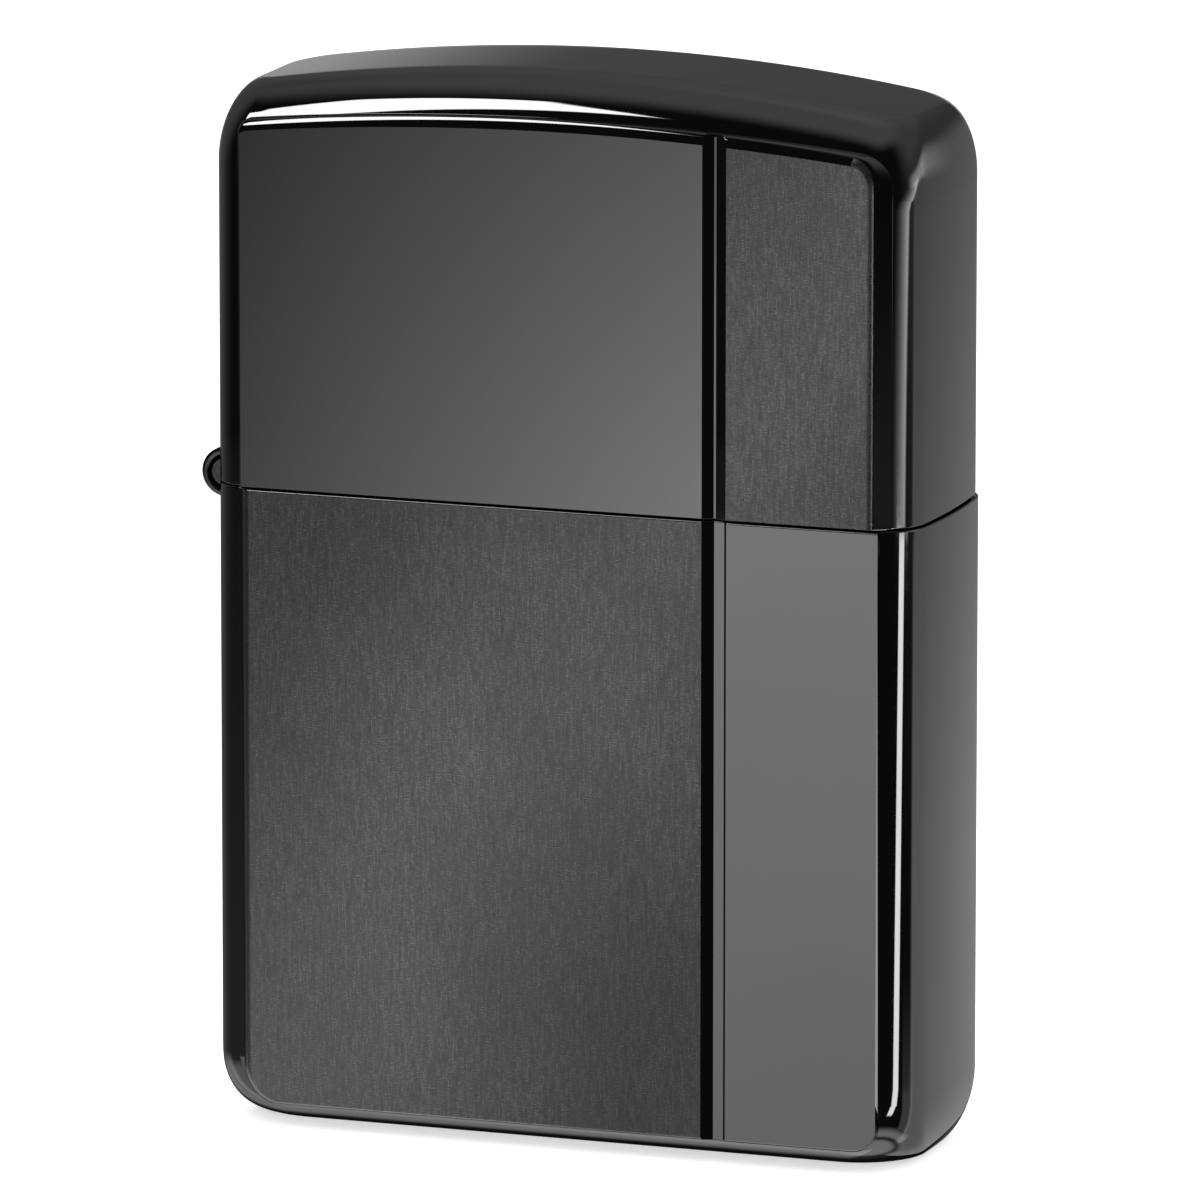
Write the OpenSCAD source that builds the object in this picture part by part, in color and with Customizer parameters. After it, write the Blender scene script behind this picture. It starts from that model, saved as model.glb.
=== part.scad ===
// Flip-top windproof pocket lighter, closed. The hinge is on the left (-X), the panelled front
// faces -Y and +Z is up. The origin is the middle of the underside of the lower case.

/* [Case] */
// Width of the case, without the hinge barrels
body_w = 38.2; // [36:0.1:40]
// Depth of the case over the raised front panels
body_d = 13.0; // [12.8:0.1:14]
// Height of the closed lighter at the middle of the lid
body_h = 56.0; // [55:0.1:58]
// Height of the line where the lid meets the lower case
split_z = 33.7; // [33:0.1:35]
// Thickness of the case walls
wall = 1.0; // [0.8:0.05:1.1]
// Thickness of the floor of the lower case
floor_t = 1.2; // [1:0.1:1.4]
// Radius of the four upright corners
corner_r = 2.6; // [2.4:0.1:3]
// Radius of the two bottom corners, seen from the front
foot_r = 2.4; // [1.8:0.1:2.6]
// Radius of the two top corners, seen from the front
crown_corner_r = 3.4; // [3:0.1:4]
// How far the top of the lid falls from its middle to its sides
arch_drop = 1.65; // [1.2:0.05:2]
// Radius of the long top edges of the lid
crown_edge_r = 2.8; // [1.8:0.1:3]
// Radius of the long bottom edges of the lower case
foot_edge_r = 1.8; // [0.8:0.1:2]

/* [Front panels] */
// Height of the panels above the frame round them
panel_raise = 0.3; // [0.2:0.05:0.4]
// Half width of the panelled area
panel_half_w = 17.15; // [16.5:0.05:17.2]
// Place of the upright groove between the panels, from the middle
groove_x = 8.66; // [6:0.02:11]
// Half width of that groove
groove_half_w = 0.56; // [0.4:0.02:0.8]
// Height of the lower edge of the base panels
panel_foot_z = 1.35; // [1.1:0.05:1.8]
// Distance from the top of the lid to the upper edge of its panels
panel_top_gap = 2.75; // [2.6:0.05:3.4]
// Radius of the arch along the upper edge of the lid panels
panel_arch_r = 150; // [120:5:200]

/* [Hinge] */
// Outer radius of the hinge barrels
barrel_r = 1.3; // [1.2:0.05:1.4]
// Radius of the hinge pin
hinge_pin_r = 0.72; // [0.65:0.01:0.75]
// Length of the row of hinge barrels
hinge_len = 8.4; // [7.6:0.2:8.4]
// Height of the hinge pin above the split line
hinge_rise = 0.3; // [0.25:0.05:0.4]
// Thickness of the two hinge leaves
leaf_t = 0.5; // [0.4:0.05:0.5]
// Height of each hinge leaf
leaf_h = 6.8; // [5:0.1:8]

/* [Insert] */
// Thickness of the insert's sheet metal
sheet_t = 0.4; // [0.35:0.05:0.5]
// Height of the top of the insert above the split line
insert_rise = 1.0; // [0.8:0.1:1.2]
// Height of the windscreen above the top of the insert
chimney_h = 15.2; // [14:0.1:15.5]
// Width of the windscreen
chimney_w = 16.5; // [16:0.1:17]
// Radius of the air holes in the windscreen
air_hole_r = 1.15; // [0.9:0.05:1.25]
// Radius of the wick
wick_r = 1.5; // [1.2:0.1:1.6]
// Number of packing pieces
packing_count = 5; // [5:1:5]

/* [Striker] */
// Radius of the flint wheel over its teeth
wheel_r = 3.3; // [3.1:0.05:3.4]
// Thickness of the flint wheel
wheel_t = 4.4; // [4:0.1:4.5]
// Number of teeth on the flint wheel
wheel_teeth = 32; // [24:1:36]
// Outer radius of the flint tube
tube_r = 1.75; // [1.7:0.05:1.8]
// Radius of the flint
flint_r = 1.22; // [1.1:0.01:1.24]
// Number of turns in the flint spring
spring_turns = 24; // [16:1:28]

/* [Cam] */
// Radius of the cam round its pivot
cam_boss_r = 2.3; // [2:0.1:2.4]
// Radius of the tip of the cam
cam_tip_r = 0.9; // [0.8:0.05:0.95]
// Thickness of the cam
cam_t = 4.1; // [3.6:0.1:4.2]
// Thickness of the cam spring's strip
strip_t = 0.3; // [0.2:0.05:0.3]

/* [Hidden] */
$fn = 64;
EPS = 0.02;
half_w = body_w / 2;
half_d = body_d / 2;

// Split line: half of the gap between lid and base, and the small rebate along both rims.
split_gap = 0.05;
rebate_h = 0.15;
rebate_d = 0.12;

// The frame behind the panels is set back by panel_raise, so its middle is off centre.
frame_d = body_d - panel_raise;
frame_y = panel_raise / 2;
cavity_half_w = half_w - wall;
cavity_half_d = half_d - panel_raise - wall;
// The flat of the cavity's walls is as long as the hinge leaves, so a leaf lies clear of the corners.
cavity_corner_r = cavity_half_d - hinge_len / 2;

// The arch of the lid's top, a circle about a line along Y.
arch_r = (half_w * half_w + arch_drop * arch_drop) / (2 * arch_drop);
arch_z = body_h - arch_r;
groove_depth = panel_raise;
end_chamfer = 0.85;
foot_chamfer = 0.55;

// Hinge.
hinge_inset = 0.2;
hinge_x = -half_w + hinge_inset;
hinge_z = split_z + hinge_rise;
knuckles = 5;
knuckle_pitch = hinge_len / knuckles;
knuckle_gap = 0.06;
pin_clearance = 0.03;
barrel_clearance = 0.12;
notch_clearance = 0.15;

// Insert: a sheet-metal box, off centre to leave room for the hinge leaf.
leaf_gap = 0.2;
insert_gap = 0.15;
insert_left = hinge_x + barrel_r + leaf_gap;
insert_right = cavity_half_w - insert_gap;
insert_w = insert_right - insert_left;
insert_x = (insert_right + insert_left) / 2;
insert_half_d = cavity_half_d - insert_gap;
floor_gap = 0.1;
insert_bottom = floor_t + floor_gap;
insert_top = split_z + insert_rise;
insert_corner_r = 1.3;
plate_t = 0.6;
wick_plate_gap = 0.1;

// Windscreen.
chimney_x = -0.25;
chimney_corner_r = 3.2;
chimney_t = 0.45;
air_pitch_x = 3.7;
air_pitch_z = 3.6;
air_low_z = insert_top + 4.2;
ear_t = 0.5;

// Cam, its rivet and its spring.
cam_x = -12.4;
cam_z = insert_top + 3.4;
cam_ear_y = 2.2;
cam_ear_r = 1.9;
cam_pin_r = 0.8;
cam_tip_x = -4.1;
cam_tip_z = -0.8;
cam_heel_x = 1.3;
cam_heel_z = -1.3;
cam_heel_r = 1.1;
strip_w = 3.4;
strip_bend_r = 0.95;
strip_root_x = -8.6;
strip_bend_x = cam_x - 2.2;
strip_low_z = insert_top - plate_t - 0.2;

// Flint wheel and flint.
wheel_x = 11.6;
wheel_z = insert_top + 7.7;
wheel_side_gap = 0.25;
wheel_ear_y = wheel_t / 2 + wheel_side_gap;
wheel_ear_r = 2.4;
wheel_pin_r = 1.0;
tooth_depth = 0.32;
tooth_land = 0.35;
rivet_head = 0.4;
rivet_rim = 0.6;
running = 0.04;
tube_bore_r = 1.32;
tube_bottom = 2.3;
tube_top = insert_top + 3.8;
flint_gap = 0.08;
flint_top = wheel_z - wheel_r - flint_gap;
flint_h = 4.8;
tip_h = 1.1;
tip_pip_r = 0.55;
tip_pip_h = 1.0;
screw_top = 7.0;
screw_head_r = 2.3;
screw_head_h = 0.9;
screw_edge = 0.3;
screw_slot_w = 0.5;
screw_slot_h = 0.5;
thread_depth = 0.2;
thread_pitch = 0.5;
spring_mean_r = 0.92;
spring_wire_r = 0.16;
spring_steps = 10;
spring_sides = 5;

// Wick and what soaks up the fluid.
wick_bottom = 5.5;
wick_top = insert_top + 11.3;
packing_bottom = 4.5;
packing_top = insert_top - 1.2;
packing_left = insert_left + 0.8;
packing_right = wheel_x - tube_r - 0.45;
packing_half_d = insert_half_d - 0.55;
packing_pitch = (packing_top - packing_bottom) / packing_count;
packing_gap = 0.15;
packing_r = 2.3;
wick_hole_gap = 0.12;
felt_bottom = 1.5;
felt_t = 2.8;
felt_hole_r = 2.45;
felt_gap = 0.05;

dark_chrome = [0.30, 0.30, 0.32];
steel = [0.76, 0.77, 0.78];
brass = [0.80, 0.66, 0.36];
dark_steel = [0.36, 0.36, 0.37];
cotton = [0.93, 0.92, 0.88];
felt = [0.86, 0.84, 0.80];

// ---- Helpers ----

// A rectangle with round corners, centred on the origin.
module round_rect(w, h, r) {
    square([w - 2 * r, h], center = true);
    square([w, h - 2 * r], center = true);
    for (x = [-1, 1], y = [-1, 1])
        translate([x * (w / 2 - r), y * (h / 2 - r)]) circle(r);
}

// Stands a front-view outline (x, z) up and extrudes it from y0 to y1.
module front_extrude(y0, y1) {
    translate([0, y1, 0]) rotate([90, 0, 0]) linear_extrude(y1 - y0) children();
}

// Stands a side-view outline (y, z) up and extrudes it from x0 to x1.
module side_extrude(x0, x1) {
    translate([x0, 0, 0]) rotate([90, 0, 90]) linear_extrude(x1 - x0) children();
}

// A round bar along Y from y0 to y1.
module bar_y(x, z, r, y0, y1) {
    translate([x, y1, z]) rotate([90, 0, 0]) cylinder(r = r, h = y1 - y0);
}

// Points of an arc.
function arc_points(cx, cy, r, a0, a1, n) =
    [for (i = [0:n]) let (a = a0 + (a1 - a0) * i / n) [cx + r * cos(a), cy + r * sin(a)]];

// The outline of a strip of even thickness along a path.
function unit(v) = v / norm(v);
function path_normal(p, i) =
    let (a = p[max(i - 1, 0)], b = p[min(i + 1, len(p) - 1)], d = unit(b - a)) [-d[1], d[0]];
function strip_outline(p, t) = concat(
    [for (i = [0:len(p) - 1]) p[i] + path_normal(p, i) * t / 2],
    [for (i = [len(p) - 1:-1:0]) p[i] - path_normal(p, i) * t / 2]);

// ---- Outer case ----

// Plan of the frame behind the panels, drawn in by inset.
module frame_plan(inset = 0) {
    translate([0, frame_y])
        round_rect(body_w - 2 * inset, frame_d - 2 * inset, corner_r - inset);
}

// Plan of the raised panels with the groove between them, drawn in by inset.
module panel_plan(inset = 0) {
    front = -half_d + inset;
    side = panel_half_w - inset;
    polygon([
        [-side - end_chamfer, front + end_chamfer],
        [-side, front],
        [groove_x - groove_half_w, front],
        [groove_x, front + groove_depth],
        [groove_x + groove_half_w, front],
        [side, front],
        [side + end_chamfer, front + end_chamfer],
        [side, front + wall + panel_raise / 2],
        [-side, front + wall + panel_raise / 2]]);
}

// Everything outside the split line's rebate, as a ring to cut away.
module split_rebate(z0) {
    translate([0, 0, z0])
        linear_extrude(rebate_h + EPS)
            difference() {
                square([body_w + 4, body_d + 4], center = true);
                frame_plan(rebate_d);
                panel_plan(rebate_d);
            }
}

// Room for the hinge barrels in the walls of the lid and the base.
module hinge_notch() {
    bar_y(hinge_x, hinge_z, barrel_r + notch_clearance,
        -hinge_len / 2 - notch_clearance, hinge_len / 2 + notch_clearance);
}

// Front view of the lower case, with round bottom corners.
module base_front_view() {
    intersection() {
        translate([0, body_h / 2]) round_rect(body_w, body_h, foot_r);
        translate([-half_w, 0]) square([body_w, split_z - split_gap]);
    }
}

module case_base() {
    color(dark_chrome)
        difference() {
            union() {
                intersection() {
                    linear_extrude(split_z) frame_plan();
                    front_extrude(-half_d, half_d) base_front_view();
                    side_extrude(-half_w, half_w)
                        translate([frame_y, body_h / 2]) round_rect(frame_d, body_h, foot_edge_r);
                }
                intersection() {
                    linear_extrude(split_z - split_gap) panel_plan();
                    side_extrude(-half_w, half_w)
                        polygon([
                            [-half_d, panel_foot_z],
                            [-half_d + foot_chamfer, panel_foot_z - foot_chamfer],
                            [-half_d + wall, panel_foot_z],
                            [-half_d + wall + panel_raise, split_z],
                            [-half_d, split_z]]);
                }
            }
            translate([0, 0, floor_t])
                linear_extrude(body_h)
                    round_rect(2 * cavity_half_w, 2 * cavity_half_d, cavity_corner_r);
            split_rebate(split_z - split_gap - rebate_h);
            hinge_notch();
        }
}

// Front view of the lid, drawn in by inset: straight sides, two corner arcs and the arch, all tangent.
module lid_front_view(inset = 0) {
    r = crown_corner_r - inset;
    big = arch_r - inset;
    cx = half_w - crown_corner_r;
    cz = arch_z + sqrt(pow(arch_r - crown_corner_r, 2) - cx * cx);
    reach = 1.1;
    intersection() {
        translate([0, arch_z]) circle(big, $fn = 360);
        polygon([
            [0, arch_z],
            [cx * reach, arch_z + (cz - arch_z) * reach],
            [-cx * reach, arch_z + (cz - arch_z) * reach]]);
        translate([-half_w, split_z]) square([body_w, body_h]);
    }
    for (x = [-cx, cx]) translate([x, cz]) circle(r);
    translate([-half_w + inset, split_z]) square([body_w - 2 * inset, cz - split_z]);
}

// The top of the lid as part of a ring about the arch's axis: its long edges follow the arch.
module crown_ring(big, y_mid, depth, edge_r) {
    ring_h = body_h - split_z + 6;
    translate([0, y_mid, arch_z])
        rotate([90, 0, 0])
            rotate_extrude($fn = 360)
                translate([big - ring_h / 2, 0]) round_rect(ring_h, depth, edge_r);
}

module lid_block() {
    intersection() {
        translate([0, 0, split_z + split_gap]) linear_extrude(body_h) frame_plan();
        front_extrude(-half_d, half_d) lid_front_view();
        crown_ring(arch_r, frame_y, frame_d, crown_edge_r);
    }
}

// The lid panels: the panel plan, cut off along the arch by a cone that makes the top chamfer.
module lid_panels() {
    cone_h = wall + panel_raise;
    intersection() {
        translate([0, 0, split_z + split_gap]) linear_extrude(body_h) panel_plan();
        translate([0, -half_d, body_h - panel_top_gap - panel_arch_r])
            rotate([-90, 0, 0])
                cylinder(r1 = panel_arch_r, r2 = panel_arch_r + cone_h, h = cone_h, $fn = 360);
    }
}

module lid_cavity() {
    intersection() {
        translate([0, 0, split_z - 1])
            linear_extrude(body_h)
                round_rect(2 * cavity_half_w, 2 * cavity_half_d, cavity_corner_r);
        union() {
            front_extrude(-half_d, half_d) lid_front_view(wall);
            translate([-cavity_half_w, -half_d, split_z - 1])
                cube([2 * cavity_half_w, body_d, 1 + EPS]);
        }
        crown_ring(arch_r - wall, 0, 2 * cavity_half_d, crown_edge_r - wall);
    }
}

module case_lid() {
    color(dark_chrome)
        difference() {
            union() {
                lid_block();
                lid_panels();
            }
            lid_cavity();
            split_rebate(split_z + split_gap - EPS);
            hinge_notch();
        }
}

// ---- Hinge ----

// The barrels of one leaf. first is 0 for the base leaf's three and 1 for the lid leaf's two.
module barrels(first, r, grow) {
    for (k = [first:2:knuckles - 1]) {
        y0 = -hinge_len / 2 + k * knuckle_pitch + knuckle_gap / 2 - grow;
        bar_y(hinge_x, hinge_z, r, y0, y0 + knuckle_pitch - knuckle_gap + 2 * grow);
    }
}

// One leaf: a plate against the inside of the wall, tangent to its barrels.
module hinge_leaf(first, z0, z1) {
    color(steel)
        difference() {
            union() {
                translate([hinge_x + barrel_r - leaf_t, -hinge_len / 2, z0])
                    cube([leaf_t, hinge_len, z1 - z0]);
                barrels(first, barrel_r, 0);
            }
            barrels(1 - first, barrel_r + barrel_clearance, knuckle_gap);
            bar_y(hinge_x, hinge_z, hinge_pin_r + pin_clearance, -hinge_len, hinge_len);
        }
}

module base_hinge_leaf() {
    hinge_leaf(0, hinge_z - leaf_h, hinge_z);
}

module lid_hinge_leaf() {
    hinge_leaf(1, hinge_z, hinge_z + leaf_h);
}

module hinge_pin() {
    color(steel) bar_y(hinge_x, hinge_z, hinge_pin_r, -hinge_len / 2, hinge_len / 2);
}

// ---- Insert ----

module insert_plan(inset) {
    translate([insert_x, 0])
        round_rect(insert_w - 2 * inset, 2 * (insert_half_d - inset), insert_corner_r - inset);
}

module insert_case() {
    color(steel)
        translate([0, 0, insert_bottom])
            linear_extrude(insert_top - insert_bottom)
                difference() {
                    insert_plan(0);
                    insert_plan(sheet_t);
                }
}

module insert_top_plate() {
    slot_gap = 0.3;
    slot_left = strip_bend_x - strip_bend_r - strip_t / 2 - slot_gap;
    slot_right = strip_bend_x + strip_bend_r / 2;
    slot_half_w = strip_w / 2 + slot_gap;
    color(steel)
        difference() {
            translate([0, 0, insert_top - plate_t]) linear_extrude(plate_t) insert_plan(sheet_t);
            translate([chimney_x, 0, 0]) cylinder(r = wick_r + wick_plate_gap, h = body_h);
            translate([wheel_x, 0, 0]) cylinder(r = tube_r + running, h = body_h);
            translate([slot_left, -slot_half_w, insert_top - 2 * plate_t])
                cube([slot_right - slot_left, 2 * slot_half_w, 3 * plate_t]);
        }
}

// A pair of upright ears, each ear_t thick, with the outline given as children.
module ear_pair(inner_y) {
    for (y0 = [inner_y, -inner_y - ear_t]) front_extrude(y0, y0 + ear_t) children();
}

module chimney() {
    outer_d = 2 * insert_half_d;
    color(steel)
        difference() {
            union() {
                translate([chimney_x, 0, insert_top])
                    linear_extrude(chimney_h)
                        difference() {
                            round_rect(chimney_w, outer_d, chimney_corner_r);
                            round_rect(chimney_w - 2 * chimney_t, outer_d - 2 * chimney_t,
                                chimney_corner_r - chimney_t);
                        }
                ear_pair(wheel_ear_y) {
                    translate([wheel_x, wheel_z]) circle(wheel_ear_r);
                    translate([chimney_x + chimney_w / 2 - chimney_t, insert_top])
                        square([wheel_x + wheel_ear_r - chimney_x - chimney_w / 2 + chimney_t,
                            wheel_z - insert_top]);
                }
                ear_pair(cam_ear_y) {
                    translate([cam_x, cam_z]) circle(cam_ear_r);
                    translate([cam_x - cam_ear_r, insert_top])
                        square([chimney_x - chimney_w / 2 + chimney_t - cam_x + cam_ear_r,
                            cam_z - insert_top]);
                }
            }
            bar_y(wheel_x, wheel_z, wheel_pin_r, -half_d, half_d);
            bar_y(cam_x, cam_z, cam_pin_r, -half_d, half_d);
            for (row = [0, 2], i = [-1:1])
                bar_y(chimney_x + i * air_pitch_x, air_low_z + row * air_pitch_z, air_hole_r,
                    -half_d, half_d);
            for (i = [-0.5, 0.5])
                bar_y(chimney_x + i * air_pitch_x, air_low_z + air_pitch_z, air_hole_r,
                    -half_d, half_d);
        }
}

// ---- Cam ----

// An arm between two circles of different size, with its sides just inside their common tangents.
module tangent_arm(x, z, r0, r1) {
    lean = atan2(z, x);
    spread = acos((r0 - r1) / norm([x, z]));
    inside = 0.99;
    polygon([for (k = [[0, r0, -1], [1, r1, -1], [1, r1, 1], [0, r0, 1]])
        let (a = lean + k[2] * spread) k[0] * [x, z] + k[1] * inside * [cos(a), sin(a)]]);
    circle(r0);
    translate([x, z]) circle(r1);
}

module cam() {
    color(steel)
        difference() {
            front_extrude(-cam_t / 2, cam_t / 2)
                translate([cam_x, cam_z]) {
                    tangent_arm(cam_tip_x, cam_tip_z, cam_boss_r, cam_tip_r);
                    translate([cam_heel_x, cam_heel_z]) circle(cam_heel_r);
                }
            bar_y(cam_x, cam_z, cam_pin_r + running, -half_d, half_d);
        }
}

// A rivet along Y through a pair of ears, with a flat round head at each end.
module rivet(x, z, r, ear_y) {
    outer = ear_y + ear_t;
    bar_y(x, z, r, -outer - rivet_head / 2, outer + rivet_head / 2);
    bar_y(x, z, r + rivet_rim, -outer - rivet_head, -outer);
    bar_y(x, z, r + rivet_rim, outer, outer + rivet_head);
}

module cam_rivet() {
    color(steel) rivet(cam_x, cam_z, cam_pin_r, cam_ear_y);
}

module cam_spring() {
    path = concat(
        [[strip_root_x, strip_low_z]],
        arc_points(strip_bend_x, strip_low_z + strip_bend_r, strip_bend_r, -90, -285, 13));
    color(steel)
        front_extrude(-strip_w / 2, strip_w / 2) polygon(strip_outline(path, strip_t));
}

// ---- Striker ----

module flint_wheel() {
    root_r = wheel_r - tooth_depth;
    step = 360 / wheel_teeth;
    color(dark_steel)
        difference() {
            front_extrude(-wheel_t / 2, wheel_t / 2)
                translate([wheel_x, wheel_z])
                    polygon([for (i = [0:wheel_teeth - 1], k = [0, 1])
                        let (a = (i + k * tooth_land) * step, r = k == 0 ? wheel_r : root_r)
                            [r * cos(a), r * sin(a)]]);
            bar_y(wheel_x, wheel_z, wheel_pin_r + running, -half_d, half_d);
        }
}

module wheel_rivet() {
    color(steel) rivet(wheel_x, wheel_z, wheel_pin_r, wheel_ear_y);
}

module flint_tube() {
    color(brass)
        translate([wheel_x, 0, tube_bottom])
            difference() {
                cylinder(r = tube_r, h = tube_top - tube_bottom);
                translate([0, 0, -EPS]) cylinder(r = tube_bore_r, h = tube_top);
            }
}

module flint() {
    color(dark_steel)
        translate([wheel_x, 0, flint_top - flint_h]) cylinder(r = flint_r, h = flint_h);
}

module spring_tip() {
    top = flint_top - flint_h - EPS;
    color(brass)
        translate([wheel_x, 0, top - tip_h]) {
            cylinder(r = flint_r, h = tip_h);
            translate([0, 0, -tip_pip_h]) cylinder(r = tip_pip_r, h = tip_pip_h);
        }
}

// The flint spring: a round wire swept along a helix, a ring of points at each step.
module flint_spring() {
    z0 = screw_top + spring_wire_r + EPS;
    z1 = flint_top - flint_h - tip_h - spring_wire_r - 2 * EPS;
    rings = spring_turns * spring_steps;
    points = [for (i = [0:rings], s = [0:spring_sides - 1])
        let (
            turn = 360 * i / spring_steps,
            z = z0 + (z1 - z0) * i / rings,
            side = 360 * s / spring_sides,
            r = spring_mean_r + spring_wire_r * cos(side))
            [wheel_x + r * cos(turn), r * sin(turn), z + spring_wire_r * sin(side)]];
    sides = [for (i = [0:rings - 1], s = [0:spring_sides - 1])
        let (
            t = (s + 1) % spring_sides,
            a = i * spring_sides + s,
            b = i * spring_sides + t,
            c = b + spring_sides,
            d = a + spring_sides)
            each [[a, d, c], [a, c, b]]];
    start = [[for (s = [0:spring_sides - 1]) s]];
    end = [[for (s = [spring_sides - 1:-1:0]) rings * spring_sides + s]];
    color(steel) polyhedron(points = points, faces = concat(sides, start, end));
}

// The screw that closes the flint tube: a slotted head and a threaded shank.
module flint_screw() {
    head_z = tube_bottom - 0.05;
    crest_r = tube_bore_r - running;
    root_r = crest_r - thread_depth;
    threads = floor((screw_top - head_z) / thread_pitch) - 1;
    color(brass)
        translate([wheel_x, 0, 0])
            difference() {
                rotate_extrude()
                    polygon(concat(
                        [[0, head_z - screw_head_h], [screw_head_r - screw_edge, head_z - screw_head_h],
                            [screw_head_r, head_z - screw_head_h + screw_edge], [screw_head_r, head_z],
                            [root_r, head_z]],
                        [for (i = [0:threads - 1], k = [0, 1])
                            [k == 0 ? root_r : crest_r,
                                head_z + thread_depth + (i + k / 2) * thread_pitch]],
                        [[root_r, screw_top], [0, screw_top]]));
                translate([-screw_head_r - 1, -screw_slot_w / 2, head_z - screw_head_h - 1])
                    cube([2 * screw_head_r + 2, screw_slot_w, screw_slot_h + 1]);
            }
}

// ---- Wick and packing ----

module wick() {
    color(cotton)
        translate([chimney_x, 0, wick_bottom]) cylinder(r = wick_r, h = wick_top - wick_bottom);
}

// One pad of packing, a soft block with round edges and a hole for the wick.
module packing(layer) {
    w = packing_right - packing_left;
    h = packing_pitch - packing_gap;
    x = (packing_left + packing_right) / 2;
    z = packing_bottom + (layer + 0.5) * packing_pitch;
    color(cotton)
        difference() {
            translate([x, 0, z])
                intersection() {
                    linear_extrude(h, center = true) round_rect(w, 2 * packing_half_d, packing_r);
                    front_extrude(-packing_half_d, packing_half_d) round_rect(w, h, packing_r);
                    side_extrude(-w / 2, w / 2) round_rect(2 * packing_half_d, h, packing_r);
                }
            translate([chimney_x, 0, 0]) cylinder(r = wick_r + wick_hole_gap, h = body_h);
        }
}

module felt_pad() {
    color(felt)
        translate([0, 0, felt_bottom])
            linear_extrude(felt_t)
                difference() {
                    insert_plan(sheet_t + felt_gap);
                    translate([wheel_x, 0]) circle(felt_hole_r);
                }
}

case_base();
case_lid();
base_hinge_leaf();
lid_hinge_leaf();
hinge_pin();
insert_case();
insert_top_plate();
chimney();
cam();
cam_rivet();
cam_spring();
flint_wheel();
wheel_rivet();
flint_tube();
flint();
spring_tip();
flint_spring();
flint_screw();
wick();
packing(0);  // packing_1
packing(1);  // packing_2
packing(2);  // packing_3
packing(3);  // packing_4
packing(4);  // packing_5
felt_pad();
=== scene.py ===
"""Flip-top windproof lighter: the look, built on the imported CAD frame.

Lengths in the piece builders are millimetres in the frame's axes: +Z up, front faces -Y,
hinge at -X. They become metres when a mesh is made.
"""

import math
import random

import bmesh
import bpy
from mathutils import Matrix, Vector, noise


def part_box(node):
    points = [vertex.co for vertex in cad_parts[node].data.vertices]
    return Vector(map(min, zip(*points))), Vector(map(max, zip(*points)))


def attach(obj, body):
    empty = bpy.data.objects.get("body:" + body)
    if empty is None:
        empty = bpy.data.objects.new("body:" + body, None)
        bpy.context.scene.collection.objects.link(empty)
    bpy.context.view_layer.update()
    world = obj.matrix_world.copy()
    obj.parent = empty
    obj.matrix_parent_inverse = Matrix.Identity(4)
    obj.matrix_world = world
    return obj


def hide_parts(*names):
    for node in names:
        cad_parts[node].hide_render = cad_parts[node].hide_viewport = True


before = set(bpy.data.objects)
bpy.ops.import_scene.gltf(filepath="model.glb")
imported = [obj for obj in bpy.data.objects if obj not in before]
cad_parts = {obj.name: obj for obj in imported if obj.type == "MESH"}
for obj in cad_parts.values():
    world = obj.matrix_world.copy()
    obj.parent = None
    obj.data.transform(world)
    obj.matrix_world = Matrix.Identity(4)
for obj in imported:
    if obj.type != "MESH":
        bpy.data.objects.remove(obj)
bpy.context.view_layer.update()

MM = 0.001
WHITE = (1.0, 1.0, 1.0, 1.0)
FLOOR_HALF = 4.0
FLOOR_GLOW = 0.55
PLATE_CORNERS = 40  # a face with this many corners is a flat plate


def box_mm(node):
    """Lowest and highest corner of a CAD node, in millimetres."""
    low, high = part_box(node)
    return low / MM, high / MM


def centre_mm(node):
    return [(a + b) / 2 for a, b in zip(*box_mm(node))]


BASE_LOW, BASE_HIGH = box_mm("case_base")
LID_LOW, LID_HIGH = box_mm("case_lid")
PIN_LOW, PIN_HIGH = box_mm("hinge_pin")
WHEEL_LOW, WHEEL_HIGH = box_mm("flint_wheel")

# ---- Shell form ----
# CROWN and FOOT are the elliptical turns into the top and the underside: how far the wall
# moves in on each axis, how high the turn is, and how much the corner radius grows.
HALF_W = (BASE_HIGH.x - BASE_LOW.x) / 2
HALF_D = 6.35
MIDDLE_Y = 0.15
CORNER_R = 2.22
HEIGHT = LID_HIGH.z
SPLIT_Z = (BASE_HIGH.z + LID_LOW.z) / 2
SPLIT_GAP = 0.05
CROWN_DROP = 1.76
CROWN = {"inset_x": 1.6, "inset_y": 2.82, "height": 3.75, "corner": -0.4}
FOOT = {"inset_x": 1.47, "inset_y": 2.66, "height": 3.67, "corner": 1.49}
RIGHT_BULGE = 0.42
RIGHT_SETBACK = 0.15
LID_SHIFT = -0.15
BASE_LIP_R = 0.05
LID_LIP_R = 0.035
CAVITY_HALF_W = 18.1
CAVITY_HALF_D = 5.2
CAVITY_R = 1.0
CAVITY_BREAK = 0.05
FLOOR_T = 1.2
FLOOR_FILLET = 0.8
ROOF_T = 1.0
ROOF_TURN = {"inset_x": 1.0, "inset_y": 1.7, "height": 3.0}

# ---- Front panels ----
FACE_Y = BASE_LOW.y
PANEL_ARCH_R = 150.0
PANEL_SINK = 0.28
PANEL_FOOT_Z = 1.22
PANEL_CROWN_Z = 53.88
GROOVE_Y = MIDDLE_Y - HALF_D - 0.02

# ---- Hinge ----
HINGE_X, _, HINGE_Z = centre_mm("hinge_pin")
HINGE_LEN = PIN_HIGH.y - PIN_LOW.y
KNUCKLES = 5
KNUCKLE_GAP = 0.06
BARREL_R = 1.3
ROLL_T = 0.36
ROLL_DEGREES = 338
ROLL_STEPS = 44
NOTCH_R = BARREL_R + 0.15
NOTCH_END_GAP = 0.08
LEAF_H = 6.8

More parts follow.
